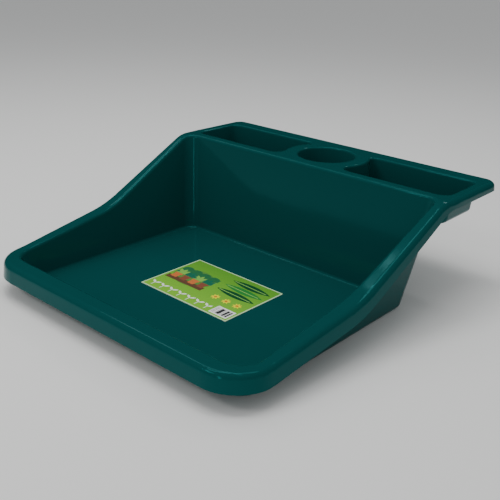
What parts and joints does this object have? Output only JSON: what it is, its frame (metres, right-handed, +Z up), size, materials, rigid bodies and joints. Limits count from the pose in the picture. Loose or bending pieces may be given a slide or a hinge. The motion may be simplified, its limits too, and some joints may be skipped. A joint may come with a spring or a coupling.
{
  "type": "potting soil tray",
  "caption": "Open-fronted potting tray with high sloping sides, a rounded rim, and a raised rear shelf with recessed pockets round a pot well; a printed card lies in it.",
  "frame": {"origin": "below the middle of the tray's outline, on the surface that it stands on", "axes": "+X to the right as the user faces the tray from its open front, +Y to the raised shelf at the rear, +Z up"},
  "size_m": [0.57, 0.605, 0.1765],
  "materials": {
    "green_plastic": "smooth and glossy, as moulded, dark bluish green",
    "printed_card": "coated card with a printed light green design and a pale border"
  },
  "bodies": {
    "root": {"tray_moulding": "green_plastic", "label_card": "printed_card"}
  },
  "joints": []
}
